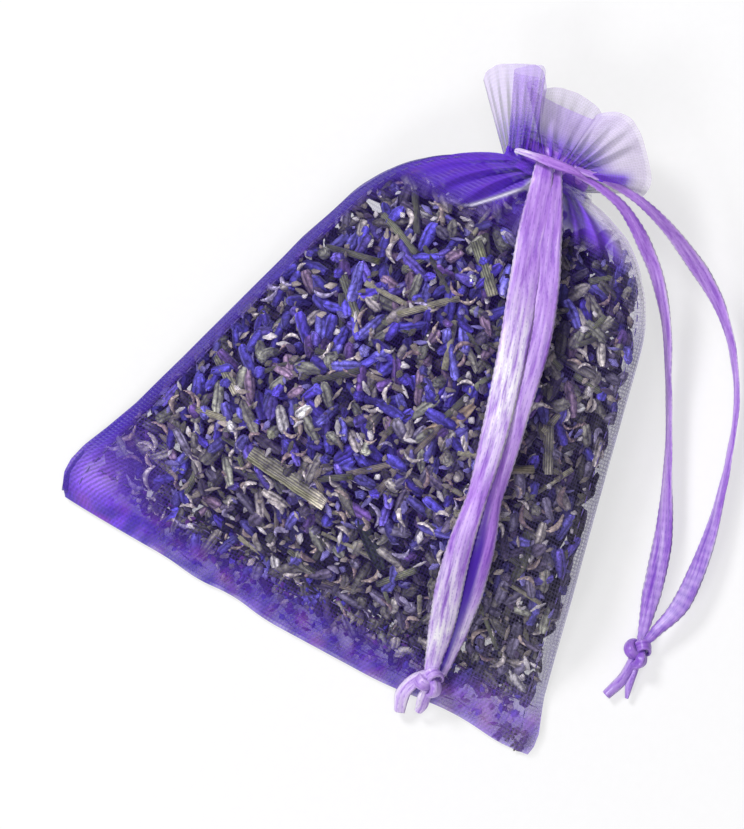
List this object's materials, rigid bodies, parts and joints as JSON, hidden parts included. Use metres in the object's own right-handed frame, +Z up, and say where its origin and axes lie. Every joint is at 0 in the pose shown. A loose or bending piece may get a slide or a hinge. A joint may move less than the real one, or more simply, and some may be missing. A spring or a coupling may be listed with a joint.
{
  "type": "lavender sachet",
  "caption": "Sheer organza drawstring bag filled with dried lavender, lying on its back, gathered to a frilled neck with knotted satin ribbon tails.",
  "frame": {"origin": "bottom centre of the bag's box on the table, measured without the ribbon tails", "axes": "+X across the bag to the side where the ribbon tails lie, +Y from the bottom seam to the frill, +Z up from the table"},
  "size_m": [0.069, 0.0718, 0.0188],
  "materials": {
    "organza": "sheer plain weave with a slight sheen",
    "seam_organza": "folded layers of sheer weave",
    "thread": "twisted sewing thread",
    "satin": "narrow satin ribbon with a soft lengthwise sheen",
    "dried_lavender": "matt dried flower buds",
    "dried_stalk": "matt dried stalk",
    "dried_leaf": "matt dried leaf"
  },
  "bodies": {
    "bag": {"front_panel": "organza", "back_panel": "organza", "left_seam_allowance": "seam_organza", "right_seam_allowance": "seam_organza", "bottom_seam_allowance": "seam_organza", "left_side_stitching": "thread", "right_side_stitching": "thread", "bottom_stitching": "thread", "right_drawstring_loop": "satin", "left_drawstring_loop": "satin", "front_casing": "organza", "back_casing": "organza", "lower_casing_stitching": "thread", "upper_casing_stitching": "thread", "back_frill": "organza", "lavender_bed": "dried_lavender", "bud_01": "dried_lavender", "bud_02": "dried_lavender", "bud_03": "dried_lavender", "bud_04": "dried_lavender", "bud_05": "dried_lavender", "bud_06": "dried_lavender", "bud_07": "dried_lavender", "bud_08": "dried_lavender", "bud_09": "dried_lavender", "bud_10": "dried_lavender", "bud_11": "dried_lavender", "bud_12": "dried_lavender", "bud_13": "dried_lavender", "bud_14": "dried_lavender", "bud_15": "dried_lavender", "bud_16": "dried_lavender", "bud_17": "dried_lavender", "bud_18": "dried_lavender", "bud_19": "dried_lavender", "bud_20": "dried_lavender", "stalk_chip_1": "dried_stalk", "stalk_chip_2": "dried_stalk", "stalk_chip_3": "dried_stalk", "stalk_chip_4": "dried_stalk", "stalk_chip_5": "dried_stalk", "leaf_1": "dried_leaf", "leaf_2": "dried_leaf", "leaf_3": "dried_leaf"},
    "front_draw": {"front_ribbon_exit": "satin"},
    "front_tails": {"front_tail_left": "satin", "front_tail_right": "satin", "front_knot": "satin", "front_end_left": "satin", "front_end_right": "satin"},
    "side_draw": {"side_ribbon_strand": "satin"},
    "side_tails": {"side_tail_inner": "satin", "side_tail_outer": "satin", "side_knot": "satin", "side_end_left": "satin", "side_end_right": "satin"},
    "mouth_leaf": {"front_frill": "organza"}
  },
  "joints": [
    {"name": "front_pull", "type": "slide", "parent": "bag", "child": "front_draw", "axis": [0.2927, -0.9419, 0.1648], "range_m": [0, 0.0035]},
    {"name": "front_lift", "type": "hinge", "parent": "front_draw", "child": "front_tails", "pos_m": [0.0007, 0.02225, 0.0151], "axis": [-0.9549, -0.297, 0], "range_deg": [0, 100]},
    {"name": "side_pull", "type": "slide", "parent": "bag", "child": "side_draw", "axis": [0.9987, 0.0517, 0], "range_m": [0, 0.004]},
    {"name": "side_lift", "type": "hinge", "parent": "side_draw", "child": "side_tails", "pos_m": [0.00635, 0.02535, 0.0143], "axis": [-0.8246, -0.5657, 0], "range_deg": [0, 100]},
    {"name": "frill_open", "type": "hinge", "parent": "bag", "child": "mouth_leaf", "pos_m": [0.0014, 0.02705, 0.0098], "axis": [1, 0, 0], "range_deg": [0, 30]}
  ]
}
